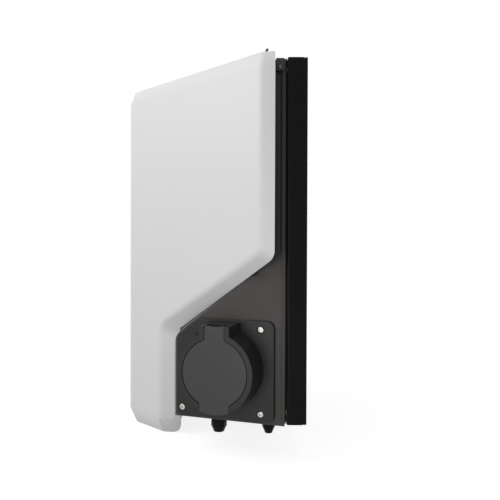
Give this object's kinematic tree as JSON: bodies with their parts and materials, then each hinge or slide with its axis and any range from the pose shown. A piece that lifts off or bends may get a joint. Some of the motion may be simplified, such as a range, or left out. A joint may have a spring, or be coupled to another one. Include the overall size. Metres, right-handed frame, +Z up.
{
  "type": "ev wallbox",
  "caption": "Wall-mounted electric car charger: a ridged white front cover over a dark housing with side pods, a lidded charging socket on one side and cable glands below.",
  "frame": {"origin": "centre of the wall screw pattern, on the wall", "axes": "+X to the right of someone facing the box, +Y into the wall, +Z up"},
  "size_m": [0.3349, 0.1996, 0.4051],
  "materials": {
    "cover_white": "fine satin, moulded",
    "peg_black": "satin",
    "housing_dark": "fine grain",
    "box_black": "fine grain",
    "plate_black": "black coated",
    "seal_rubber": "matt",
    "socket_black": "fine grain",
    "lid_grey": "fine grain",
    "insert_black": "satin",
    "screw_stainless": "bright",
    "screw_grey": "satin",
    "screw_steel": "zinc plated",
    "pin_steel": "ground",
    "contact_brass": "bright",
    "actuator_black": "satin",
    "rail_zinc": "zinc plated",
    "supply_case": "bare sheet",
    "module_grey": "satin",
    "toggle_blue": "satin",
    "button_grey": "satin",
    "window_clear": "clear",
    "clamp_beige": "satin",
    "board_green": "satin lacquer",
    "coil_copper": "bright",
    "spacer_nylon": "satin",
    "gland_black": "satin"
  },
  "bodies": {
    "wallbox": {"back_box": "box_black", "board_chips": "actuator_black", "board_relays": "actuator_black", "board_screws": "screw_steel", "board_spacers": "spacer_nylon", "contact_insert": "insert_black", "contactor": "module_grey", "control_board": "board_green", "cover_screws": "screw_steel", "current_sensor": "actuator_black", "din_rail": "rail_zinc", "earth_bar": "contact_brass", "earth_screws": "screw_steel", "energy_meter": "module_grey", "front_cover": "cover_white", "front_gland_body": "gland_black", "front_gland_locknut": "gland_black", "front_gland_nut": "gland_black", "front_gland_seal": "seal_rubber", "hinge_pin": "pin_steel", "housing": "housing_dark", "housing_seal": "seal_rubber", "joining_screws": "screw_steel", "lid_spring": "pin_steel", "lock_actuator": "actuator_black", "meter_window": "window_clear", "power_sleeves": "contact_brass", "power_supply": "supply_case", "rail_screws": "screw_steel", "rcbo": "module_grey", "reader_board": "board_green", "reader_coil": "coil_copper", "reader_spacers": "spacer_nylon", "rear_gland_body": "gland_black", "rear_gland_locknut": "gland_black", "rear_gland_nut": "gland_black", "rear_gland_seal": "seal_rubber", "side_screws": "screw_grey", "signal_sleeves": "contact_brass", "socket_flange": "socket_black", "socket_gasket": "seal_rubber", "socket_screws": "screw_stainless", "supply_grommet": "seal_rubber", "terminal_block": "clamp_beige", "top_peg": "peg_black", "wall_plate": "plate_black"},
    "lid": {"lid": "lid_grey", "lid_seal": "seal_rubber"},
    "lock_bolt": {"lock_bolt": "pin_steel"},
    "rcbo_toggle": {"rcbo_toggle": "toggle_blue"},
    "rcbo_test_button": {"rcbo_test_button": "button_grey"}
  },
  "joints": [
    {"name": "lid_hinge", "type": "hinge", "parent": "wallbox", "child": "lid", "pos_m": [0.15311, -0.0864, -0.0876], "axis": [-0.3206, -0.9472, 0], "range_deg": [0, 110], "stiffness_Nm_per_rad": 0.03, "springref_deg": -28.65},
    {"name": "lock_slide", "type": "slide", "parent": "wallbox", "child": "lock_bolt", "axis": [0, 0, -1], "range_m": [0, 0.0065]},
    {"name": "rcbo_toggle_hinge", "type": "hinge", "parent": "wallbox", "child": "rcbo_toggle", "pos_m": [-0.063, -0.0715, 0.062], "axis": [1, 0, 0], "range_deg": [0, 80]},
    {"name": "rcbo_test_press", "type": "slide", "parent": "wallbox", "child": "rcbo_test_button", "axis": [0, 1, 0], "range_m": [0, 0.0014], "stiffness_N_per_m": 300, "springref_m": -0.0005}
  ]
}
